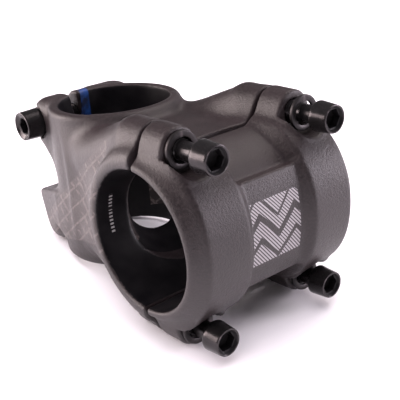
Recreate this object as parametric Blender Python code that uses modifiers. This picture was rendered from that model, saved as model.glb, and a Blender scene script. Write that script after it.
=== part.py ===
"""Bicycle handlebar stem: clamp body, faceplate and socket-head screws with washers.

Frame: origin on the steerer axis at the foot of the steerer clamp, +Z up the steerer,
-Y forward to the handlebar, X along the handlebar.
"""
import math

import bmesh
import bpy
from mathutils import Matrix, Vector

MM = 0.001
GAP = 0.3 * MM

# steerer clamp
STEERER_R = 14.3 * MM
STEERER_OUTER_R = 17.1 * MM
STEERER_CHAMFER = 0.5 * MM
STACK = 40.0 * MM
SLOT_W = 2.4 * MM
SLOT_LEAN = 3.8 * MM

# handlebar clamp
REACH = 40.0 * MM
BAR_R = 15.9 * MM
BAR_Z = STACK / 2
CLAMP_HALF_W = 24.3 * MM
CLAMP_OUTER_R = 20.1 * MM
RIM_CHAMFER = 0.6 * MM
RIM_OUTER_R = 17.3 * MM
SPLIT_GAP = 0.6 * MM

# faceplate screws, M5
SCREW_X = 16.6 * MM
SCREW_DZ = 20.35 * MM
EAR_R = 4.9 * MM
SEAT_Y = -47.6 * MM
EAR_FRONT_Y = -48.0 * MM
SPOTFACE_R = 5.2 * MM
SHANK_R = 2.45 * MM
WAIST_R = 2.05 * MM
WAIST_LEN = 5.6 * MM
SHANK_HOLE_R = 2.8 * MM
SCREW_LEN = 16.0 * MM
HEAD_LEN = 4.8 * MM
HEAD_BASE_R = 3.5 * MM
HEAD_END_R = 3.2 * MM
HEX_R = 2.31 * MM
HEX_DEPTH = 2.5 * MM
FACE_HOLE_END_Y = -31.6 * MM

# washers
WASHER_R = 4.1 * MM
WASHER_HOLE_R = 2.75 * MM
WASHER_T = 0.9 * MM

# steerer pinch screws, M5, one from each side
PINCH_Y = 18.8 * MM
PINCH_DZ = 13.2 * MM
PINCH_EAR_Y = 16.6 * MM
PINCH_EAR_R = 6.7 * MM
PINCH_SEAT_X = 10.9 * MM
PINCH_SPOTFACE_R = 4.4 * MM
PINCH_SCREW_LEN = 20.0 * MM
PINCH_HOLE_END = 9.0 * MM
PINCH_HEAD_LEN = 5.2 * MM
PINCH_HEAD_BASE_R = 4.0 * MM
PINCH_HEAD_END_R = 3.8 * MM

# hollow between the two clamps
HOLLOW_BAR_W = 17.2 * MM
HOLLOW_BAR_H = 13.4 * MM
HOLLOW_STEERER_W = 9.6 * MM
HOLLOW_STEERER_H = 11.6 * MM

# how far each faceplate screw stands off its seat, as (side, up, head, washer)
FACE_SCREWS = (
    ("upper_left", -1, 1, 5.9 * MM, 0.3 * MM),
    ("upper_right", 1, 1, 6.3 * MM, 2.4 * MM),
    ("lower_left", -1, -1, 5.1 * MM, 0.3 * MM),
    ("lower_right", 1, -1, 4.6 * MM, 0.9 * MM),
)

ROUND = 48
PART_NAME = "handlebar_stem"


def clear_scene():
    for item in list(bpy.data.objects):
        bpy.data.objects.remove(item, do_unlink=True)


def new_collection(name):
    made = bpy.data.collections.new(name)
    bpy.context.scene.collection.children.link(made)
    return made


def material(name, colour, roughness, metallic):
    made = bpy.data.materials.new(name)
    made.use_nodes = True
    shader = made.node_tree.nodes["Principled BSDF"]
    shader.inputs["Base Color"].default_value = (*colour, 1.0)
    shader.inputs["Roughness"].default_value = roughness
    shader.inputs["Metallic"].default_value = metallic
    return made


def mesh_object(name, work, collection):
    """Puts a bmesh into a new object, faces turned outward."""
    bmesh.ops.recalc_face_normals(work, faces=work.faces)
    mesh = bpy.data.meshes.new(name)
    work.to_mesh(mesh)
    work.free()
    made = bpy.data.objects.new(name, mesh)
    collection.objects.link(made)
    return made


def shade(part, degrees=32.0):
    part.data.shade_smooth()
    part.data.set_sharp_from_angle(angle=math.radians(degrees))


def loft(name, sections, collection):
    """Closed solid through rings of points, each ring with the same number of points."""
    work = bmesh.new()
    rings = [[work.verts.new(point) for point in ring] for ring in sections]
    for near, far in zip(rings, rings[1:]):
        for i in range(len(near)):
            j = (i + 1) % len(near)
            work.faces.new((near[i], near[j], far[j], far[i]))
    work.faces.new(rings[0])
    work.faces.new(rings[-1])
    return mesh_object(name, work, collection)


def round_bar(name, radius, start, end, collection, sides=ROUND, end_radius=None):
    """Cylinder, or cone when end_radius is given, from one point to another."""
    along = Vector(end) - Vector(start)
    work = bmesh.new()
    bmesh.ops.create_cone(
        work, cap_ends=True, segments=sides, radius1=radius,
        radius2=radius if end_radius is None else end_radius, depth=along.length,
    )
    turn = along.to_track_quat("Z", "Y").to_matrix().to_4x4()
    middle = (Vector(start) + Vector(end)) / 2
    bmesh.ops.transform(work, matrix=Matrix.Translation(middle) @ turn, verts=work.verts)
    return mesh_object(name, work, collection)


def block(name, low, high, collection):
    """Box between two corners."""
    low, high = Vector(low), Vector(high)
    work = bmesh.new()
    size = high - low
    place = Matrix.Translation((low + high) / 2) @ Matrix.Diagonal((*size, 1.0))
    bmesh.ops.create_cube(work, size=1.0, matrix=place)
    return mesh_object(name, work, collection)


def turned(name, profile, collection, sides=ROUND):
    """Solid of revolution about its own Z; profile runs from top to bottom as (radius, height)."""
    curve_mesh = bpy.data.meshes.new(name)
    points = [(radius, 0.0, height) for radius, height in profile]
    curve_mesh.from_pydata(points, [(i, i + 1) for i in range(len(points) - 1)], [])
    made = bpy.data.objects.new(name, curve_mesh)
    collection.objects.link(made)
    screw = made.modifiers.new("turn", "SCREW")
    screw.steps = sides
    screw.render_steps = sides
    screw.use_merge_vertices = True
    screw.merge_threshold = 0.00001
    return made


def applied(part):
    """Replaces an object's mesh with its evaluated mesh and returns the object."""
    bpy.context.view_layer.update()
    graph = bpy.context.evaluated_depsgraph_get()
    mesh = bpy.data.meshes.new_from_object(part.evaluated_get(graph))
    part.modifiers.clear()
    part.data = mesh
    return part


def combine(part, other, operation):
    """Boolean with the other object, which is kept as a hidden guide."""
    step = part.modifiers.new(operation.lower() + "_" + other.name, "BOOLEAN")
    step.operation = operation
    step.solver = "EXACT"
    step.object = other
    other.hide_render = True
    other.display_type = "WIRE"


def superellipse(half_w, half_h, power, count):
    """Points (x, z) of a superellipse, from +X over the top and round."""
    points = []
    for i in range(count):
        angle = 2 * math.pi * i / count
        c, s = math.cos(angle), math.sin(angle)
        x = half_w * math.copysign(abs(c) ** (2 / power), c)
        z = half_h * math.copysign(abs(s) ** (2 / power), s)
        points.append((x, z))
    return points


def smooth_step(value, low, high):
    t = min(1.0, max(0.0, (value - low) / (high - low)))
    return t * t * (3 - 2 * t)


def neck_section(y):
    """Ring of the neck at y: a rounded section with a ridge ramping up to each screw ear."""
    forward = smooth_step(-y, 3 * MM, 27 * MM)
    half_w = (16.8 + 6.4 * forward) * MM
    half_h = (16.9 + 1.0 * forward) * MM
    power = 4.0 - 1.3 * forward
    ramp = 17.0 * MM + 0.4 * max(0.0, -y - 13.5 * MM)
    crest = min(ramp, 25.0 * MM)
    centre = (13.2 + 3.4 * smooth_step(-y, 12 * MM, 32 * MM)) * MM
    ring = []
    for x, z in superellipse(half_w, half_h, power, 84):
        off = (abs(x) - centre) / (4.6 * MM)
        face = smooth_step(abs(z), 0.2 * half_h, 0.7 * half_h)
        lift = max(0.0, crest - abs(z)) * face / (1 + abs(off) ** 4)
        ring.append((x, y, BAR_Z + z + math.copysign(lift, z)))
    return ring


def build_stem_body(parts, cutters):
    """Steerer clamp, neck and the rear half of the bar clamp, hollowed and drilled."""
    tube_top = 1.2 * MM
    body = applied(turned("stem_body", (
        (0.0, STACK), (STEERER_OUTER_R - tube_top, STACK), (STEERER_OUTER_R, STACK - tube_top),
        (STEERER_OUTER_R, tube_top), (STEERER_OUTER_R - tube_top, 0.0), (0.0, 0.0),
    ), parts, 64))
    stations = [-3, -8, -12, -15, -18, -21, -24, -27, -30, -33, -36, -40.6]
    neck = loft("neck", [neck_section(y * MM) for y in stations], cutters)
    combine(body, neck, "UNION")

    rim = 1.7 * MM
    half = applied(turned("rear_clamp_half", (
        (0.0, CLAMP_HALF_W), (CLAMP_OUTER_R - rim, CLAMP_HALF_W),
        (CLAMP_OUTER_R - 0.3 * rim, CLAMP_HALF_W - 0.3 * rim), (CLAMP_OUTER_R, CLAMP_HALF_W - rim),
        (CLAMP_OUTER_R, -CLAMP_HALF_W + rim),
        (CLAMP_OUTER_R - 0.3 * rim, -CLAMP_HALF_W + 0.3 * rim),
        (CLAMP_OUTER_R - rim, -CLAMP_HALF_W), (0.0, -CLAMP_HALF_W),
    ), cutters, 56))
    half.rotation_euler = (0.0, math.radians(90), 0.0)
    half.location = (0.0, -REACH, BAR_Z)
    combine(body, half, "UNION")

    for name, side, up, _head, _washer in FACE_SCREWS:
        axis_x, axis_z = side * SCREW_X, BAR_Z + up * SCREW_DZ
        ear = round_bar(
            "ear_" + name, EAR_R, (axis_x, -REACH + 0.1 * MM, axis_z),
            (axis_x, -REACH + 6.0 * MM, axis_z - up * 0.5 * MM), cutters, 28, EAR_R - 0.6 * MM,
        )
        combine(body, ear, "UNION")

    for side in (-1, 1):
        for up in (-1, 1):
            combine(body, pinch_ear(side, up, cutters), "UNION")

    combine(body, block(
        "front_half_space", (-40 * MM, -80 * MM, -20 * MM),
        (40 * MM, -REACH + SPLIT_GAP / 2, 60 * MM), cutters), "DIFFERENCE")
    for cutter in body_cutters(cutters):
        combine(body, cutter, "DIFFERENCE")
    return body


def pinch_ear(side, up, cutters):
    """Rear ear of the steerer clamp: round where a head seats, square-topped where it is tapped."""
    centre_z = BAR_Z + up * PINCH_DZ
    head_side = side * up < 0
    tilt = math.radians(20)
    outline = []
    for i in range(13):
        angle = math.radians(90 - 15 * i)
        outline.append((PINCH_EAR_R * math.cos(angle), PINCH_EAR_R * math.sin(angle)))
    if head_side:
        outline[-2:] = [(PINCH_EAR_R * math.sin(tilt), -PINCH_EAR_R * math.cos(tilt)),
                        (-4.0 * MM, -11.5 * MM)]
    else:
        outline[7:] = [(PINCH_EAR_R, -6.4 * MM), (-4.0 * MM, -9.2 * MM)]
    outline.append((-8.0 * MM, outline[-1][1]))
    outline.append((-8.0 * MM, PINCH_EAR_R))
    rings = []
    for x, shrink in ((0.4, 0.0), (11.4, 0.0), (12.7, 0.35), (13.2, 1.3)):
        scale = 1 - shrink * MM / PINCH_EAR_R
        rings.append([
            (side * x * MM, PINCH_EAR_Y + dy * scale, centre_z + up * dz * scale)
            for dy, dz in outline
        ])
    name = "pinch_ear_" + ("left_" if side < 0 else "right_") + ("upper" if up > 0 else "lower")
    return loft(name, rings, cutters)


def body_cutters(cutters):
    """Bores, slot, hollow and screw holes of the stem body."""
    out = 1 * MM
    made = [applied(turned("steerer_bore", (
        (0.0, STACK + out), (STEERER_R + STEERER_CHAMFER + out, STACK + out),
        (STEERER_R, STACK - STEERER_CHAMFER), (STEERER_R, STEERER_CHAMFER),
        (STEERER_R + STEERER_CHAMFER + out, -out), (0.0, -out),
    ), cutters, 60))]
    made.append(bar_bore("rear_bar_bore", cutters))
    slot = block("clamp_slot", (-SLOT_W / 2, 8 * MM, -2 * MM),
                 (SLOT_W / 2, 40 * MM, STACK + 2 * MM), cutters)
    for vertex in slot.data.vertices:
        vertex.co.x -= SLOT_LEAN * (vertex.co.z - BAR_Z) / (STACK / 2)
    made.append(slot)
    hollow = []
    for y, blend in ((-36 * MM, 0.0), (-30.5 * MM, 0.0), (-22 * MM, 0.6), (-14 * MM, 1.0), (-6 * MM, 1.0)):
        half_w = HOLLOW_BAR_W + blend * (HOLLOW_STEERER_W - HOLLOW_BAR_W)
        half_h = HOLLOW_BAR_H + blend * (HOLLOW_STEERER_H - HOLLOW_BAR_H)
        ring = superellipse(half_w, half_h, 2.6 - 0.4 * blend, 40)
        hollow.append([(x, y, BAR_Z + z) for x, z in ring])
    made.append(loft("hollow", hollow, cutters))
    for name, side, up, _head, _washer in FACE_SCREWS:
        axis_x, axis_z = side * SCREW_X, BAR_Z + up * SCREW_DZ
        made.append(round_bar("tapped_" + name, SHANK_HOLE_R, (axis_x, -REACH - 3 * MM, axis_z),
                              (axis_x, FACE_HOLE_END_Y, axis_z), cutters, 20))
    for side in (-1, 1):
        z = BAR_Z - side * PINCH_DZ
        name = "left" if side < 0 else "right"
        made.append(round_bar("pinch_hole_" + name, SHANK_HOLE_R, (side * 16 * MM, PINCH_Y, z),
                              (-side * PINCH_HOLE_END, PINCH_Y, z), cutters, 20))
        made.append(round_bar("pinch_seat_" + name, PINCH_SPOTFACE_R, (side * PINCH_SEAT_X, PINCH_Y, z),
                              (side * 18 * MM, PINCH_Y, z), cutters, 28))
    return made


def bar_bore(name, cutters):
    """Cutter for the bar bore, flared into a chamfer at both rims."""
    out = CLAMP_HALF_W + 1 * MM
    inner = CLAMP_HALF_W - RIM_CHAMFER
    flare = BAR_R + RIM_CHAMFER + 1 * MM
    bore = applied(turned(name, (
        (0.0, out), (flare, out), (BAR_R, inner), (BAR_R, -inner), (flare, -out), (0.0, -out),
    ), cutters, 64))
    bore.rotation_euler = (0.0, math.radians(90), 0.0)
    bore.location = (0.0, -REACH, BAR_Z)
    return bore


def face_radius(angle, x):
    """Outer radius of the faceplate at an angle above or below forward, and at x along the bar."""
    across = abs(x)
    tilt = abs(angle)
    c, s = math.cos(tilt), math.sin(tilt)
    band = (20.1 + 0.7 * math.sin(2 * tilt) ** 2 - 1.0 * smooth_step(tilt, 1.0, 1.5)) * MM
    rim_drop = (band - RIM_OUTER_R) * min(1.0, max(0.0, (across - 20.8 * MM) / (3.5 * MM)))
    flat = 18.0 * MM
    bow = 60 * MM
    panel = flat if s < 0.01 else (-c + math.sqrt(c * c + 4 * s * s * flat / bow)) * bow / (2 * s * s)
    scoop = 17.4 * MM + 0.4 * MM * smooth_step(tilt, 1.05, 1.57)
    middle = panel + (scoop - panel) * smooth_step(tilt, math.radians(36), math.radians(44))
    crest = smooth_step(across, 7.4 * MM, 9.9 * MM)
    return middle + (band - rim_drop - middle) * crest


def build_faceplate(parts, cutters):
    """Front half of the bar clamp, with raised side bands, a middle panel and four screw ears."""
    right_half = [3.9, 7.7, 8.9, 10.0, 15.5, 20.8, 22.5, 24.3]
    across = [-x for x in reversed(right_half)] + [0] + right_half
    rings = []
    for i in range(41):
        angle = math.radians(-96 + 192 * i / 40)
        ring = [(x * MM, face_radius(angle, x * MM)) for x in across]
        ring += [(CLAMP_HALF_W, BAR_R + RIM_CHAMFER), (CLAMP_HALF_W - RIM_CHAMFER, BAR_R)]
        ring += [(-CLAMP_HALF_W + RIM_CHAMFER, BAR_R), (-CLAMP_HALF_W, BAR_R + RIM_CHAMFER)]
        rings.append([(x, -REACH - r * math.cos(angle), BAR_Z + r * math.sin(angle)) for x, r in ring])
    plate = loft("faceplate", rings, parts)
    for name, side, up, _head, _washer in FACE_SCREWS:
        axis_x, axis_z = side * SCREW_X, BAR_Z + up * SCREW_DZ
        ear = round_bar("face_ear_" + name, EAR_R, (axis_x, -REACH, axis_z),
                        (axis_x, EAR_FRONT_Y, axis_z), cutters, 28, EAR_R - 0.3 * MM)
        combine(plate, ear, "UNION")
    combine(plate, block("rear_half_space", (-40 * MM, -REACH - SPLIT_GAP / 2, -20 * MM),
                         (40 * MM, -20 * MM, 60 * MM), cutters), "DIFFERENCE")
    for name, side, up, _head, _washer in FACE_SCREWS:
        axis_x, axis_z = side * SCREW_X, BAR_Z + up * SCREW_DZ
        combine(plate, round_bar("face_hole_" + name, SHANK_HOLE_R, (axis_x, -REACH + 3 * MM, axis_z),
                                 (axis_x, -70 * MM, axis_z), cutters, 20), "DIFFERENCE")
        combine(plate, round_bar("face_seat_" + name, SPOTFACE_R, (axis_x, SEAT_Y, axis_z),
                                 (axis_x, -70 * MM, axis_z), cutters, 28), "DIFFERENCE")
    combine(plate, round_bar("front_bar_bore", BAR_R, (-30 * MM, -REACH, BAR_Z),
                             (30 * MM, -REACH, BAR_Z), cutters, 64), "DIFFERENCE")
    return plate


def build_screw(name, length, head, parts, cutters):
    """Socket-head screw standing on its own Z: head up, underside of the head at z = 0."""
    head_len, base_radius, end_radius = head
    round_edge = 0.35 * MM
    screw = applied(turned(name, (
        (0.0, head_len), (end_radius - round_edge, head_len), (end_radius, head_len - round_edge),
        (base_radius, 0.7 * MM), (base_radius, 0.0), (WAIST_R, 0.0), (WAIST_R, -WAIST_LEN),
        (SHANK_R, -WAIST_LEN - 0.5 * MM),
        (SHANK_R, -length + 0.8 * MM), (SHANK_R - 0.7 * MM, -length), (0.0, -length),
    ), parts, 24))
    socket = round_bar("socket_" + name, HEX_R, (0, 0, head_len - HEX_DEPTH),
                       (0, 0, head_len + 2 * MM), cutters, 6)
    socket.parent = screw
    combine(screw, socket, "DIFFERENCE")
    return screw


def build_washer(name, parts):
    """Flat ring standing on its own Z, seat side at z = 0."""
    edge = 0.15 * MM
    return applied(turned(name, (
        (WASHER_HOLE_R, WASHER_T), (WASHER_R - edge, WASHER_T), (WASHER_R, WASHER_T - edge),
        (WASHER_R, edge), (WASHER_R - edge, 0.0), (WASHER_HOLE_R, 0.0), (WASHER_HOLE_R, WASHER_T),
    ), parts, 24))


def aim(part, place, outward):
    """Sets an object down with its own Z along outward."""
    part.location = place
    part.rotation_euler = Vector(outward).to_track_quat("Z", "Y").to_euler()


def main():
    clear_scene()
    parts = new_collection(PART_NAME)
    cutters = new_collection("cutters")
    anodised = (0.035, 0.031, 0.032)

    body = build_stem_body(parts, cutters)
    body.data.materials.append(material("anodised_body", anodised, 0.55, 0.6))
    plate = build_faceplate(parts, cutters)
    plate.data.materials.append(material("anodised_faceplate", anodised, 0.5, 0.6))
    shade(body)
    shade(plate)

    for name, side, up, head_off, washer_off in FACE_SCREWS:
        axis_x, axis_z = side * SCREW_X, BAR_Z + up * SCREW_DZ
        screw = build_screw(
            "face_screw_" + name, SCREW_LEN,
            (HEAD_LEN, HEAD_BASE_R, HEAD_END_R), parts, cutters)
        aim(screw, (axis_x, SEAT_Y - WASHER_T - head_off, axis_z), (0, -1, 0))
        washer = build_washer("face_washer_" + name, parts)
        aim(washer, (axis_x, SEAT_Y - washer_off, axis_z), (0, -1, 0))
        screw.data.materials.append(material("screw_" + name, (0.02, 0.018, 0.02), 0.28, 1.0))
        washer.data.materials.append(material("washer_" + name, (0.03, 0.027, 0.028), 0.35, 1.0))
        shade(screw)
        shade(washer)

    for name, side in (("upper", -1), ("lower", 1)):
        z = BAR_Z - side * PINCH_DZ
        screw = build_screw(
            "pinch_screw_" + name, PINCH_SCREW_LEN,
            (PINCH_HEAD_LEN, PINCH_HEAD_BASE_R, PINCH_HEAD_END_R), parts, cutters)
        aim(screw, (side * (PINCH_SEAT_X + WASHER_T + 2 * GAP), PINCH_Y, z), (side, 0, 0))
        washer = build_washer("pinch_washer_" + name, parts)
        aim(washer, (side * (PINCH_SEAT_X + GAP), PINCH_Y, z), (side, 0, 0))
        screw.data.materials.append(material("pinch_" + name, (0.02, 0.018, 0.02), 0.28, 1.0))
        washer.data.materials.append(material("pinch_washer_" + name, (0.03, 0.027, 0.028), 0.35, 1.0))
        shade(screw)
        shade(washer)


main()
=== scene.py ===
"""Looks of a bicycle handlebar stem: satin black alloy clamp, faceplate, screws and washers."""
import math

import bmesh
import bpy
import numpy as np
from mathutils import Matrix, Vector


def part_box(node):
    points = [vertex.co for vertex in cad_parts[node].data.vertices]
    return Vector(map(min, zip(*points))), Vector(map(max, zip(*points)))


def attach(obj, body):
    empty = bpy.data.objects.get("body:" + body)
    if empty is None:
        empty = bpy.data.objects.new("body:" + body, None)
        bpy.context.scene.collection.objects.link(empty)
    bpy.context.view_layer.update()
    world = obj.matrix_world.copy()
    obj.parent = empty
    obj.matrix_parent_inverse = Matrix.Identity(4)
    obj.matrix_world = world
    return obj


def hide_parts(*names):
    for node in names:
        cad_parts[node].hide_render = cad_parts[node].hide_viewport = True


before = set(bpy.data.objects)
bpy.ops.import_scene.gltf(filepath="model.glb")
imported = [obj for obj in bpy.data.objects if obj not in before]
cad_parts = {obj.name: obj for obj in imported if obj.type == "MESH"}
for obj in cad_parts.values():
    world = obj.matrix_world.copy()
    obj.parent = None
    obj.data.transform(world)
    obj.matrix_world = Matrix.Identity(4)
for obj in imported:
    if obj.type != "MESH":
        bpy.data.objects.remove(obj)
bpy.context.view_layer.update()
MM = 0.001

# the two clamps, in millimetres
TUBE_R, BORE_R, STACK = 17.1, 14.3, 40.0
REACH, BAR_Z, BAR_R = 40.0, 20.0, 15.9
HALF_W, SPLIT = 24.3, 0.3
SCREW_X, SCREW_DZ, EAR_R, SEAT_Y = 16.6, 20.35, 4.9, -47.6
PINCH_Y, PINCH_DZ, PINCH_EAR_Y, PINCH_EAR_R, PINCH_EAR_W = 18.8, 13.2, 16.6, 6.7, 13.2
PINCH_SEAT_X, PINCH_SEAT_R, PINCH_HOLE_END = 10.9, 4.4, 9.0
SLOT_LEAN, SLOT_HALF_W, SLOT_START_Y = 3.8, 1.2, 8.0
FACE_SEAT_R, FACE_HOLE_END_Y, CLEARANCE_R = 4.9, -31.6, 2.8
NECK_HALF_W, NECK_WIDENS, NECK_HALF_H, NECK_DEEPENS = 16.8, 6.3, 17.0, 0.7
BAND_R, RIM_R, SCOOP_R, PANEL_FRONT, PANEL_BOW = 20.1, 17.3, 17.35, 18.0, 60.0
CORNERS = ((-1, 1), (1, 1), (-1, -1), (1, -1))
CORNER_NAMES = {
    (-1, 1): "upper_left", (1, 1): "upper_right",
    (-1, -1): "lower_left", (1, -1): "lower_right"}

# screws: shank length, head length, head radius at its base and at its end, in millimetres
FACE_SCREW = (16.0, 4.8, 3.5, 3.2)
PINCH_SCREW = (20.0, 5.2, 4.0, 3.8)
HEX_CORNER_R, SOCKET_DEPTH = 2.31, 2.5
WAIST_R, WAIST_END, PITCH, THREAD_RING = 2.05, -5.4, 0.8, 0.1
# washers: outer radius, hole radius, thickness
WASHER = (4.1, 2.75, 0.9)

# size of a cell in the grid that a distance field is meshed on, and sides of a turned piece
CELL = 0.35
SIDES = 72


# ---------------------------------------------------------------- distance fields, in millimetres

def smooth_step(value, low, high):
    t = np.clip((value - low) / (high - low), 0.0, 1.0)
    return t * t * (3 - 2 * t)


def join(a, b, k):
    """Union with a fillet about k wide."""
    h = np.clip(0.5 + 0.5 * (b - a) / k, 0.0, 1.0)
    return b + (a - b) * h - k * h * (1 - h)


def cut(a, b, k):
    """Removes b from a, the edge rounded over about k."""
    return -join(-a, b, k)


def meet(a, b, k):
    """What a and b share, the edge rounded over about k."""
    return -join(-a, -b, k)


def disc(radial, axial, radius, half, rounding):
    """Cylinder from its radial and axial coordinates, with rounded edges."""
    dr = radial - (radius - rounding)
    da = np.abs(axial) - (half - rounding)
    return np.minimum(np.maximum(dr, da), 0) + np.hypot(np.maximum(dr, 0), np.maximum(da, 0)) - rounding


def capsule(x, y, z, start, end, r_start, r_end):
    """Round-ended bar between two points, its radius running from one value to the other."""
    ax, ay, az = start
    bx, by, bz = end[0] - ax, end[1] - ay, end[2] - az
    t = np.clip(((x - ax) * bx + (y - ay) * by + (z - az) * bz) / (bx * bx + by * by + bz * bz), 0, 1)
    gap = np.sqrt((x - ax - t * bx) ** 2 + (y - ay - t * by) ** 2 + (z - az - t * bz) ** 2)
    return gap - (r_start + (r_end - r_start) * t)


def oval(x, z, half_w, half_h, power):
    """Superellipse about the origin, as a rough distance."""
    size = (np.abs(x / half_w) ** power + np.abs(z / half_h) ** power + 1e-9) ** (1 / power)
    return (size - 1) * np.minimum(half_w, half_h)


def body_field(x, y, z):
    """Steerer clamp, neck and the rear half of the bar clamp."""
    up = z - BAR_Z
    tube = disc(np.hypot(x, y), up, TUBE_R, STACK / 2, 1.5)
    forward = smooth_step(-y, 3, 27)
    half_w = NECK_HALF_W + NECK_WIDENS * forward
    half_h = NECK_HALF_H + NECK_DEEPENS * forward
    neck = oval(x, up, half_w, half_h, 3.6 - 0.9 * forward) * 0.9
    neck = meet(meet(neck, y + 3.0, 1.0), -44.0 - y, 1.0)
    solid = join(tube, neck, 4.0)

    side = smooth_step(np.abs(x), 7.6, 12.0)
    clamp = np.hypot(y + REACH, up) - (17.75 + 1.9 * side)
    clamp = meet(clamp, np.abs(x) - HALF_W, 2.6)
    solid = join(solid, clamp, 2.2)
    for sx, sz in CORNERS:
        root = (sx * 16.4, -33.0, sz * 19.8)
        ramp = capsule(x, y, up, (sx * 13.2, -10.5, sz * 10.6), root, 5.1, 4.8)
        ear = capsule(x, y, up, root, (sx * SCREW_X, -44.0, sz * SCREW_DZ), EAR_R, EAR_R)
        solid = join(solid, join(ramp, ear, 0.8), 3.4)
    for sx in (-1, 1):
        for sz in (-1, 1):
            solid = join(solid, pinch_ear(x, y, up, sx, sz), 2.4)
    solid = meet(solid, np.abs(up) - STACK / 2 - 20 * smooth_step(-y, 8, 16), 0.6)

    solid = cut(solid, y + REACH - SPLIT, 0.45)
    solid = cut(solid, np.hypot(x, y) - BORE_R, 0.9)
    solid = cut(solid, np.hypot(y + REACH, up) - BAR_R, 1.0)
    slot = np.maximum(np.abs(x + SLOT_LEAN * up / (STACK / 2)) - SLOT_HALF_W, SLOT_START_Y - y)
    solid = cut(solid, slot, 0.8)
    blend = smooth_step(y, -30.5, -12)
    hollow = oval(x, up, 17.2 - 7.6 * blend, 13.4 - 1.8 * blend, 2.6 - 0.4 * blend)
    hollow = meet(meet(hollow, y + 6, 0.5), -36 - y, 0.5)
    solid = cut(solid, hollow, 0.9)
    for sx, sz in CORNERS:
        off = np.hypot(x - sx * SCREW_X, up - sz * SCREW_DZ)
        hole = np.maximum(off - CLEARANCE_R, y - FACE_HOLE_END_Y)
        solid = cut(solid, hole, 0.4)
    for sx in (-1, 1):
        off = np.hypot(y - PINCH_Y, up + sx * PINCH_DZ)
        solid = cut(solid, np.maximum(off - CLEARANCE_R, -sx * x - PINCH_HOLE_END), 0.4)
        solid = cut(solid, np.maximum(off - PINCH_SEAT_R, PINCH_SEAT_X - sx * x), 0.5)
    return solid


def pinch_ear(x, y, up, sx, sz):
    """Rear ear of the steerer clamp: a round lobe where a head seats, square where it is tapped."""
    dy = y - PINCH_EAR_Y
    dz = (up - sz * PINCH_DZ) * sz
    lobe = np.hypot(dy, dz) - PINCH_EAR_R
    if sx * sz < 0:
        tail = capsule(dy, dz, 0 * dy, (-1.0, -2.5, 0), (-8.0, -12.5, 0), 5.6, 4.0)
        outline = join(lobe, tail, 2.0)
    else:
        flank = np.maximum(np.abs(dy + 9.0) - 15.7, np.abs(dz + 3.5) - 6.5)
        outline = np.minimum(lobe, meet(flank, (dy - 6.7) * 0.253 - (dz + 6.4) * 0.967, 0.5))
    # a tapped ear widens forward, until it is flush with the tube's side
    flare = np.clip((PINCH_EAR_R - dy) * 0.22, 0, 3.3) if sx * sz > 0 else 0.0
    width = np.maximum(sx * x - PINCH_EAR_W - flare, -sx * x)
    return meet(outline, width, 4.5 if sx * sz < 0 else 1.0 + 3.5 * smooth_step(dz, -6.0, 2.0))


def face_radius(tilt, across):
    """Outer radius of the faceplate at a tilt above or below forward, and at a distance across."""
    c, s = np.cos(tilt), np.maximum(np.sin(tilt), 0.02)
    band = BAND_R + 0.7 * np.sin(2 * tilt) ** 2 - 1.0 * smooth_step(tilt, 1.0, 1.5)
    drop = (band - RIM_R) * np.clip((across - 20.7) / 3.6, 0, 1.4)
    drop = drop * smooth_step(across, 19.4, 22.4)
    # the panel is a slightly bowed wall, PANEL_FRONT ahead of the bar's axis
    panel = (-c + np.sqrt(c * c + 4 * s * s * PANEL_FRONT / PANEL_BOW)) * PANEL_BOW / (2 * s * s)
    scoop = SCOOP_R + 0.4 * smooth_step(tilt, 1.05, 1.57)
    middle = panel + (scoop - panel) * smooth_step(tilt, math.radians(37.2), math.radians(42.5))
    return middle + (band - drop - middle) * smooth_step(across, 7.3, 10.1)


def faceplate_field(x, y, z):
    """Front half of the bar clamp, with side bands, a middle panel and four screw ears."""
    up = z - BAR_Z
    front = -(y + REACH)
    radial = np.hypot(front, up)
    tilt = np.abs(np.arctan2(up, front))
    solid = (radial - face_radius(tilt, np.abs(x))) * 0.85
    solid = meet(solid, np.abs(x) - HALF_W, 0.7)
    for sx, sz in CORNERS:
        rear, tip = ((sx * SCREW_X, depth, sz * SCREW_DZ) for depth in (-34.0, -50.0))
        solid = join(solid, capsule(x, y, up, rear, tip, EAR_R, EAR_R - 0.2), 3.4)
        off = np.hypot(x - sx * SCREW_X, up - sz * SCREW_DZ)
        solid = cut(solid, np.maximum(off - FACE_SEAT_R, y - SEAT_Y), 0.5)
        solid = cut(solid, off - CLEARANCE_R, 0.3)
    solid = cut(solid, radial - BAR_R, 0.9)
    return cut(solid, front - SPLIT, 0.45)


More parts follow.
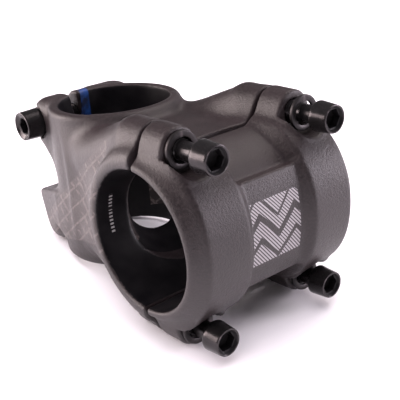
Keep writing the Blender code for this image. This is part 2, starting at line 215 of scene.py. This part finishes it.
def surface(name, field, low, high, step):
    """Mesh of the zero level of a distance field, one vertex in each cell that the level crosses."""
    axes = [np.arange(low[i], high[i] + step, step) for i in range(3)]
    value = field(*np.meshgrid(*axes, indexing="ij"))
    inside = value < 0
    count = [len(a) - 1 for a in axes]
    total = np.zeros(count + [3])
    hits = np.zeros(count)
    corner = [(i, j, k) for i in (0, 1) for j in (0, 1) for k in (0, 1)]
    for a in corner:
        for axis in range(3):
            if a[axis]:
                continue
            b = tuple(a[i] + (i == axis) for i in range(3))
            va = value[tuple(slice(a[i], a[i] + count[i]) for i in range(3))]
            vb = value[tuple(slice(b[i], b[i] + count[i]) for i in range(3))]
            crossed = (va < 0) != (vb < 0)
            t = np.where(crossed, va / np.where(crossed, va - vb, 1.0), 0.0)
            for i in range(3):
                total[..., i] += crossed * (a[i] + (t if i == axis else 0.0))
            hits += crossed
    cells = hits > 0
    number = np.full(count, -1)
    number[cells] = np.arange(cells.sum())
    place = np.argwhere(cells) + total[cells] / hits[cells][:, None]
    points = (np.array(low) + place * step) * MM
    quads = []
    for axis in range(3):
        u, v = [i for i in range(3) if i != axis]
        first = inside[tuple(slice(None, -1) if i == axis else slice(1, -1) for i in range(3))]
        second = inside[tuple(slice(1, None) if i == axis else slice(1, -1) for i in range(3))]
        for wanted, flip in ((first & ~second, False), (~first & second, True)):
            at = np.argwhere(wanted)
            at[:, u] += 1
            at[:, v] += 1
            ring = []
            for du, dv in ((0, 0), (-1, 0), (-1, -1), (0, -1)):
                cell = at.copy()
                cell[:, u] += du
                cell[:, v] += dv
                ring.append(number[cell[:, 0], cell[:, 1], cell[:, 2]])
            quads.append(np.stack(ring[::-1] if flip ^ (axis == 1) else ring, axis=1))
    mesh = bpy.data.meshes.new(name)
    mesh.from_pydata(points.tolist(), [], np.concatenate(quads).tolist())
    made = bpy.data.objects.new(name, mesh)
    bpy.context.scene.collection.objects.link(made)
    work = bmesh.new()
    work.from_mesh(mesh)
    for _ in range(2):
        bmesh.ops.smooth_vert(
            work, verts=work.verts, factor=0.35, use_axis_x=True, use_axis_y=True, use_axis_z=True)
    work.to_mesh(mesh)
    work.free()
    mesh.shade_smooth()
    return made


# ---------------------------------------------------------------- turned pieces

def lathe(name, profile, sides):
    """Closed solid about Z from (radius, height) rings, whose radius may depend on the turn."""
    work = bmesh.new()
    rings = []
    for radius, height in profile:
        if radius == 0:
            rings.append([work.verts.new((0, 0, height * MM))])
            continue
        ring = []
        for i in range(sides):
            angle = 2 * math.pi * i / sides
            reach = (radius(i / sides) if callable(radius) else radius) * MM
            ring.append(work.verts.new(
                (reach * math.cos(angle), reach * math.sin(angle), height * MM)))
        rings.append(ring)
    pairs = list(zip(rings, rings[1:]))
    if profile[0][0]:
        pairs.append((rings[-1], rings[0]))
    for near, far in pairs:
        for i in range(sides):
            j = (i + 1) % sides
            if len(near) == 1:
                work.faces.new((near[0], far[i], far[j]))
            elif len(far) == 1:
                work.faces.new((near[i], far[0], near[j]))
            else:
                work.faces.new((near[i], far[i], far[j], near[j]))
    bmesh.ops.recalc_face_normals(work, faces=work.faces)
    mesh = bpy.data.meshes.new(name)
    work.to_mesh(mesh)
    work.free()
    made = bpy.data.objects.new(name, mesh)
    bpy.context.scene.collection.objects.link(made)
    return made


def hexagon(corner_r):
    """Radius of a regular hexagon over the turn, from its corner radius."""
    def radius(turn):
        return corner_r * math.cos(math.pi / 6) / math.cos((turn * 6 % 1.0 - 0.5) * math.pi / 3)
    return radius


def helix(height, depth):
    """Radius of a threaded shank over the turn, at a height."""
    def radius(turn):
        wave = abs(((height / PITCH - turn) % 1.0) * 2 - 1)
        return WAIST_R + depth * min(1.0, max(0.0, wave * 1.35 - 0.15))
    return radius


def screw(name, length, head_len, base_r, end_r, hex_r):
    """Tapered socket-head screw: head up its own Z from 0, shank below, thread near the tip."""
    tip, deep = -length, head_len - SOCKET_DEPTH
    profile = [
        (0, deep - 0.5), (hexagon(hex_r), deep), (hexagon(hex_r), head_len - 0.7),
        (hex_r + 0.06, head_len - 0.62), (end_r - 0.5, head_len - 0.12), (end_r - 0.36, head_len),
        (end_r - 0.2, head_len), (end_r - 0.05, head_len - 0.06), (end_r, head_len - 0.22),
        (end_r + 0.03, head_len - 0.5), (base_r - 0.06, 1.2), (base_r, 0.75), (base_r - 0.02, 0.3),
        (base_r - 0.14, 0.08), (base_r - 0.35, 0), (2.35, 0), (2.13, -0.1), (WAIST_R, -0.35),
        (WAIST_R, WAIST_END)]
    steps = int((length - 6.3) / THREAD_RING)
    for k in range(1, steps):
        height = WAIST_END - THREAD_RING * k
        profile.append((helix(height, 0.41 * min(1.0, k / 8, (steps - k) / 8)), height))
    profile += [(1.9, tip + 0.5), (1.6, tip), (0, tip)]
    part = lathe(name, profile, SIDES)
    part.data.shade_smooth()
    part.data.set_sharp_from_angle(angle=math.radians(34))
    return part


def washer(name, outer, inner, thick):
    """Flat ring with eased edges, seat side at z = 0."""
    ease = 0.16
    profile = [
        (inner + ease, thick), (outer - ease, thick), (outer - 0.3 * ease, thick - 0.3 * ease),
        (outer, thick - ease), (outer, ease), (outer - 0.3 * ease, 0.3 * ease), (outer - ease, 0),
        (inner + ease, 0), (inner, ease), (inner, thick - ease)]
    part = lathe(name, profile, SIDES)
    part.data.shade_smooth()
    part.data.set_sharp_from_angle(angle=math.radians(50))
    return part


def set_down(part, node, outward, body):
    """Puts a turned piece where its CAD node is, own Z along outward, and rides it on the body."""
    low, high = (Vector(v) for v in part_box(node))
    middle = (low + high) / 2
    along = Vector(outward)
    reach = max(v.co.z for v in part.data.vertices)
    end = middle + along * abs((high - low).dot(along)) / 2
    turn = along.to_track_quat("Z", "Y").to_matrix().to_4x4()
    part.data.transform(Matrix.Translation(end - along * reach) @ turn)
    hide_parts(node)
    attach(part, body)


# ---------------------------------------------------------------- materials

class Nodes:
    """Short forms for building a node material."""

    def __init__(self, name):
        self.material = bpy.data.materials.new(name)
        self.material.use_nodes = True
        self.tree = self.material.node_tree
        self.shader = self.tree.nodes["Principled BSDF"]
        self.place = self.add("ShaderNodeTexCoord").outputs["Object"]

    def add(self, kind, **values):
        node = self.tree.nodes.new(kind)
        for key, value in values.items():
            setattr(node, key, value)
        return node

    def link(self, source, target):
        self.tree.links.new(source, target)

    def math(self, operation, a, b=0.0, c=0.0):
        node = self.add("ShaderNodeMath", operation=operation)
        for i, value in enumerate((a, b, c)):
            if isinstance(value, (int, float)):
                node.inputs[i].default_value = value
            else:
                self.link(value, node.inputs[i])
        return node.outputs[0]

    def noise(self, scale, detail=2.0, roughness=0.5):
        node = self.add("ShaderNodeTexNoise")
        node.inputs["Scale"].default_value = scale
        node.inputs["Detail"].default_value = detail
        node.inputs["Roughness"].default_value = roughness
        self.link(self.place, node.inputs["Vector"])
        return node.outputs["Fac"]

    def ramp(self, value, low, high, out_low, out_high):
        node = self.add("ShaderNodeMapRange")
        for i, item in enumerate((low, high, out_low, out_high)):
            node.inputs[i + 1].default_value = item
        self.link(value, node.inputs[0])
        return node.outputs[0]

    def mix(self, factor, first, second):
        node = self.add("ShaderNodeMix", data_type="RGBA")
        self.link(factor, node.inputs["Factor"])
        for socket, value in ((node.inputs["A"], first), (node.inputs["B"], second)):
            if isinstance(value, tuple):
                socket.default_value = (*value, 1.0)
            else:
                self.link(value, socket)
        return node.outputs["Result"]

    def axes(self):
        node = self.add("ShaderNodeSeparateXYZ")
        self.link(self.place, node.inputs[0])
        return node.outputs

    def bump(self, height, strength, distance):
        node = self.add("ShaderNodeBump")
        node.inputs["Strength"].default_value = strength
        node.inputs["Distance"].default_value = distance
        self.link(height, node.inputs["Height"])
        self.link(node.outputs["Normal"], self.shader.inputs["Normal"])


def convex_edge_mask(nodes, low, high):
    """One on convex edges, nought elsewhere."""
    geometry = nodes.add("ShaderNodeNewGeometry")
    return nodes.ramp(geometry.outputs["Pointiness"], low, high, 0.0, 1.0)


def anodised(name, marks):
    """Blasted and black-anodised alloy, with printed marks."""
    nodes = Nodes(name)
    fine = nodes.noise(4200, 3.0, 0.7)
    grain = nodes.noise(1900, 2.0, 0.6)
    broad = nodes.noise(95, 3.0, 0.6)
    colour = nodes.mix(
        nodes.ramp(broad, 0.35, 0.65, 0, 1), (0.0125, 0.0085, 0.0095), (0.0185, 0.0128, 0.0142))
    colour = nodes.mix(nodes.ramp(grain, 0.42, 0.75, 0, 0.55), colour, (0.040, 0.029, 0.030))
    rough = nodes.ramp(grain, 0.3, 0.7, 0.36, 0.50)
    colour, rough = marks(nodes, colour, rough)
    nodes.link(colour, nodes.shader.inputs["Base Color"])
    nodes.link(rough, nodes.shader.inputs["Roughness"])
    nodes.shader.inputs["Metallic"].default_value = 0.0
    height = nodes.math("ADD", fine, nodes.math("MULTIPLY", grain, 1.4))
    nodes.bump(height, 0.55, 0.00014)
    return nodes.material


def band(nodes, value, low, high):
    """One where value is between low and high."""
    above = nodes.math("GREATER_THAN", value, low)
    return nodes.math("MULTIPLY", above, nodes.math("LESS_THAN", value, high))


def zigzag(nodes, value, period):
    """Triangle wave from nought to one."""
    turn = nodes.math("FRACT", nodes.math("DIVIDE", value, period))
    return nodes.math("ABSOLUTE", nodes.math("SUBTRACT", nodes.math("MULTIPLY", turn, 2.0), 1.0))


def face_marks(nodes, colour, rough):
    """Square of fine light hatching on the middle panel, crossed by plain dark chevrons."""
    x, y, z = nodes.axes()
    middle_z, half, shift = 0.0204, 0.0071, 0.0003
    up = nodes.math("SUBTRACT", z, middle_z)
    square = nodes.math(
        "MULTIPLY", band(nodes, x, -half - shift, half - shift), band(nodes, up, -half, half))
    square = nodes.math("MULTIPLY", square, nodes.math("LESS_THAN", y, -0.050))
    slant = nodes.math("ADD", nodes.math("MULTIPLY", x, 0.75), nodes.math("MULTIPLY", up, 0.66))
    lines = nodes.math("GREATER_THAN", zigzag(nodes, slant, 0.00062), 0.42)
    peak = nodes.math("MULTIPLY", zigzag(nodes, nodes.math("ADD", x, 0.0155), 0.0104), 0.0052)
    level = nodes.math("SUBTRACT", up, peak)
    dark = nodes.math(
        "MAXIMUM", band(nodes, level, -0.0022, -0.0004), band(nodes, level, -0.0072, -0.0058))
    dark = nodes.math("MAXIMUM", dark, band(nodes, level, 0.0026, 0.0034))
    ink = nodes.math(
        "MULTIPLY", nodes.math("MULTIPLY", square, lines), nodes.math("SUBTRACT", 1.0, dark))
    rough = nodes.math("ADD", nodes.math("MULTIPLY", ink, 0.18), rough)
    return nodes.mix(nodes.math("MULTIPLY", ink, 0.92), colour, (0.40, 0.38, 0.40)), rough


def body_marks(nodes, colour, rough):
    """Tone-on-tone bars on the neck's sides, ticks in the bar bore, and a painted blue glint of light
    through the slot on the steerer bore's back wall.
    """
    x, y, z = nodes.axes()
    ahead = nodes.math("POWER", nodes.math("ADD", y, REACH * MM), 2.0)
    above = nodes.math("POWER", nodes.math("SUBTRACT", z, BAR_Z * MM), 2.0)
    radial = nodes.math("POWER", nodes.math("ADD", ahead, above), 0.5)
    wall = nodes.math("LESS_THAN", radial, 0.01615)
    side = nodes.math("GREATER_THAN", nodes.math("ABSOLUTE", x), 0.0125)
    side = nodes.math("MULTIPLY", side, nodes.math("SUBTRACT", 1.0, wall))
    slant = nodes.math("ADD", z, nodes.math("MULTIPLY", y, 0.72))
    foot = nodes.math("ADD", z, nodes.math("MULTIPLY", y, 0.26))
    cross = nodes.math("SUBTRACT", z, nodes.math("MULTIPLY", y, 0.9))
    strip = nodes.math(
        "MULTIPLY", nodes.math("LESS_THAN", slant, 0.0205), nodes.math("GREATER_THAN", foot, 0.0060))
    length = band(nodes, y, -0.0265, 0.0232)
    lines = nodes.math("GREATER_THAN", zigzag(nodes, slant, 0.0046), 0.86)
    bars = nodes.math("GREATER_THAN", zigzag(nodes, cross, 0.0044), 0.72)
    broken = nodes.math("GREATER_THAN", nodes.noise(420, 2.0), 0.52)
    weave = nodes.math("MAXIMUM", lines, nodes.math("MULTIPLY", bars, broken))
    ground = nodes.math("MULTIPLY", nodes.math("MULTIPLY", side, strip), length)
    colour = nodes.mix(nodes.math("MULTIPLY", ground, 0.6), colour, (0.052, 0.041, 0.040))
    tone = nodes.math(
        "MULTIPLY", nodes.math("MULTIPLY", side, strip), nodes.math("MULTIPLY", length, weave))
    speck = nodes.ramp(nodes.noise(1500, 2.0, 0.7), 0.40, 0.58, 0.25, 1.0)
    tone = nodes.math("MULTIPLY", tone, nodes.math("MULTIPLY", speck, 0.75))
    colour = nodes.mix(tone, colour, (0.14, 0.115, 0.11))

    line = nodes.math("MULTIPLY", band(nodes, x, -0.0206, -0.0197), band(nodes, z, 0.0165, 0.0262))
    ticks = nodes.math("GREATER_THAN", zigzag(nodes, z, 0.00088), 0.5)
    gaps = nodes.math("GREATER_THAN", nodes.math("ABSOLUTE", nodes.math("SUBTRACT", z, 0.0224)), 0.0004)
    ink = nodes.math("MULTIPLY", nodes.math("MULTIPLY", wall, line), nodes.math("MULTIPLY", ticks, gaps))
    colour = nodes.mix(nodes.math("MULTIPLY", ink, 0.85), colour, (0.42, 0.40, 0.40))

    # painted highlight: a blue glint of light coming through the clamp slot, put on the back wall of the
    # steerer bore
    centre = nodes.math(
        "SQRT", nodes.math("ADD", nodes.math("MULTIPLY", x, x), nodes.math("MULTIPLY", y, y)))
    bore = nodes.math(
        "MULTIPLY", nodes.math("LESS_THAN", centre, 0.0158), nodes.math("GREATER_THAN", y, 0.012))
    patch = nodes.ramp(nodes.noise(340, 3.0, 0.7), 0.40, 0.62, 0.15, 1.0)
    glint_stripe = nodes.math("MULTIPLY", bore, band(nodes, x, -0.0014, 0.0012))
    painted_slot_glint = nodes.math("MULTIPLY", glint_stripe, nodes.math("MULTIPLY", patch, 0.85))
    colour = nodes.mix(painted_slot_glint, colour, (0.012, 0.05, 0.20))
    return colour, rough


def black_steel(name, roughness, tone):
    """Polished black-oxide steel with fine turning lines, lighter in colour on its convex edges."""
    nodes = Nodes(name)
    cloud = nodes.noise(520, 3.0, 0.6)
    fine = nodes.noise(5200, 2.0, 0.6)
    colour = nodes.mix(
        nodes.ramp(cloud, 0.35, 0.7, 0, 1),
        (tone, tone * 0.92, tone * 0.97), (tone * 1.5, tone * 1.35, tone * 1.42))
    # convex edges are made lighter in colour
    lighter_edges = nodes.math("MULTIPLY", convex_edge_mask(nodes, 0.53, 0.66), 0.6)
    nodes.link(nodes.mix(lighter_edges, colour, (0.14, 0.12, 0.125)), nodes.shader.inputs["Base Color"])
    rough = nodes.ramp(fine, 0.3, 0.7, roughness - 0.04, roughness + 0.06)
    nodes.link(rough, nodes.shader.inputs["Roughness"])
    nodes.shader.inputs["Metallic"].default_value = 0.75
    nodes.bump(fine, 0.12, 0.00006)
    return nodes.material


def painted_shade_black():
    """Painted shade for the machined bores and hollow: a deeper black than the outside, with fine
    turning marks.
    """
    nodes = Nodes("painted_shade_black")
    x, y, z = nodes.axes()
    along = nodes.math("ADD", x, nodes.math("MULTIPLY", z, 0.15))
    lines = nodes.math("FRACT", nodes.math("MULTIPLY", along, 2600.0))
    cloud = nodes.noise(240, 3.0, 0.6)
    # this near-black colour stands in for the shade inside the bores, the hollow and the screw sockets
    colour = nodes.mix(nodes.ramp(cloud, 0.35, 0.7, 0, 1), (0.0035, 0.003, 0.004), (0.008, 0.007, 0.008))
    colour, rough = body_marks(nodes, colour, nodes.ramp(cloud, 0.3, 0.7, 0.42, 0.55))
    nodes.link(colour, nodes.shader.inputs["Base Color"])
    nodes.link(rough, nodes.shader.inputs["Roughness"])
    nodes.shader.inputs["Specular IOR Level"].default_value = 0.18
    nodes.bump(nodes.math("ADD", lines, nodes.noise(3000, 2.0, 0.6)), 0.15, 0.00004)
    return nodes.material


def paint_shade_in_bores(part):
    """Second material, a painted shade, on the faces of the two bores and the hollow between them."""
    # painted shade: the bores and hollow get a darker black than the rest of the part
    part.data.materials.append(painted_shade_black())
    skin = 0.12
    for face in part.data.polygons:
        x, y, z = (value / MM for value in face.center)
        up = z - BAR_Z
        in_bar = math.hypot(y + REACH, up) < BAR_R + skin
        in_steerer = math.hypot(x, y) < BORE_R + skin
        in_hollow = -27.0 < y < -13.0 and abs(up) < 14.5 and abs(x) < 15.0
        in_hollow = in_hollow and (face.normal.x * x + face.normal.z * up) < 0
        if in_bar or in_steerer or in_hollow:
            face.material_index = 1


def paint_shade_in_socket(part, look, socket):
    """Steel on the screw, with painted shade: the socket's walls and the bevel round it in black."""
    part.data.materials.append(look)
    part.data.materials.append(socket)
    top = max(v.co.z for v in part.data.vertices)
    for face in part.data.polygons:
        x, y, z = face.center
        # painted shade: socket walls and the bevel round them take the near-black material
        if z > top - 3.2 * MM and math.hypot(x, y) < 2.72 * MM:
            face.material_index = 1


# ---------------------------------------------------------------- pieces

body = surface("stem_body_skin", body_field, (-25.2, -40.9, -6.2), (25.2, 24.6, 46.2), CELL)
body.data.materials.append(anodised("anodised_body_look", body_marks))
paint_shade_in_bores(body)
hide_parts("stem_body")
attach(body, "stem")

plate = surface("faceplate_skin", faceplate_field, (-25.0, -61.6, -6.2), (25.0, -39.5, 46.2), CELL)
plate.data.materials.append(anodised("anodised_faceplate_look", face_marks))
paint_shade_in_bores(plate)
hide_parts("faceplate")
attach(plate, "faceplate")

screw_look = black_steel("screw_look", 0.22, 0.026)
# near-black material that paints the shade in the screw sockets
socket_painted_shade = painted_shade_black()
washer_look = black_steel("washer_look", 0.42, 0.022)

for corner in CORNERS:
    label = CORNER_NAMES[corner]
    piece = screw("screw_" + label, *FACE_SCREW, HEX_CORNER_R)
    paint_shade_in_socket(piece, screw_look, socket_painted_shade)
    set_down(piece, "face_screw_" + label, (0, -1, 0), "face_screw_" + label)
    ring = washer("washer_" + label, *WASHER)
    ring.data.materials.append(washer_look)
    set_down(ring, "face_washer_" + label, (0, -1, 0), "face_washer_" + label)

for label, outward in (("upper", (-1, 0, 0)), ("lower", (1, 0, 0))):
    piece = screw("cross_screw_" + label, *PINCH_SCREW, HEX_CORNER_R)
    paint_shade_in_socket(piece, screw_look, socket_painted_shade)
    set_down(piece, "pinch_screw_" + label, outward, "pinch_screw_" + label)
    ring = washer("cross_washer_" + label, *WASHER)
    ring.data.materials.append(washer_look)
    set_down(ring, "pinch_washer_" + label, outward, "pinch_washer_" + label)


# ---------------------------------------------------------------- floor, lights, camera

def floor():
    """Pale floor, leaned so that the stem rests on its front screw ears and the steerer clamp's foot."""
    front = Vector((0, -0.043, -0.0053))
    rear = Vector((0, 0.017, 0.0))
    lean = math.atan2(rear.z - front.z, rear.y - front.y)
    work = bmesh.new()
    bmesh.ops.create_grid(work, x_segments=8, y_segments=8, size=2.0)
    below = front - Vector((0, 0, 0.0001))
    bmesh.ops.transform(
        work, verts=work.verts, matrix=Matrix.Translation(below) @ Matrix.Rotation(lean, 4, "X"))
    mesh = bpy.data.meshes.new("floor")
    work.to_mesh(mesh)
    work.free()
    made = bpy.data.objects.new("floor", mesh)
    bpy.context.scene.collection.objects.link(made)
    nodes = Nodes("floor_look")
    tint = nodes.mix(nodes.noise(3, 2.0), (0.90, 0.87, 0.905), (0.92, 0.89, 0.92))
    nodes.link(tint, nodes.shader.inputs["Base Color"])
    nodes.shader.inputs["Roughness"].default_value = 0.9
    mesh.materials.append(nodes.material)


def soft_light(name, place, target, width, height, power, colour, glossy=True):
    light = bpy.data.lights.new(name, "AREA")
    light.shape = "RECTANGLE"
    light.size = width
    light.size_y = height
    light.energy = power
    light.color = colour
    made = bpy.data.objects.new(name, light)
    made.location = place
    made.visible_glossy = glossy
    made.rotation_euler = (Vector(target) - Vector(place)).to_track_quat("-Z", "Y").to_euler()
    bpy.context.scene.collection.objects.link(made)


def studio():
    world = bpy.data.worlds.new("studio")
    bpy.context.scene.world = world
    world.use_nodes = True
    background = world.node_tree.nodes["Background"]
    background.inputs["Color"].default_value = (1.0, 0.97, 0.99, 1.0)
    background.inputs["Strength"].default_value = 0.17
    middle = (0, -0.02, 0.02)
    soft_light("left_low", (-0.33, 0.34, 0.15), middle, 0.34, 0.24, 3.0, (1.0, 0.86, 0.84))
    soft_light("right_low", (0.60, -0.42, 0.17), middle, 0.30, 0.25, 4.2, (0.98, 0.89, 0.98))
    soft_light("right_top", (0.34, -0.02, 0.55), middle, 0.30, 0.30, 1.5, (1.0, 0.90, 0.88))
    soft_light("above", (-0.10, 0.0, 0.60), middle, 1.00, 1.00, 10.5, (1.0, 0.95, 0.99), glossy=False)


CAMERA_PLACE = Vector((-0.10776, -0.16811, 0.09023))
CAMERA_RIGHT = Vector((0.76170, -0.64314, -0.07867))
CAMERA_FORWARD = Vector((0.57494, 0.72688, -0.37562))
LENS_MM = 71.25


def camera():
    lens = bpy.data.cameras.new("camera")
    lens.sensor_width = 36.0
    lens.lens = LENS_MM
    lens.clip_start = 0.005
    made = bpy.data.objects.new("camera", lens)
    bpy.context.scene.collection.objects.link(made)
    up = CAMERA_RIGHT.cross(CAMERA_FORWARD)
    turn = Matrix((CAMERA_RIGHT, up, -CAMERA_FORWARD)).transposed().to_4x4()
    made.matrix_world = Matrix.Translation(CAMERA_PLACE) @ turn
    bpy.context.scene.camera = made


floor()
studio()
camera()
bpy.context.scene.view_settings.view_transform = "Standard"
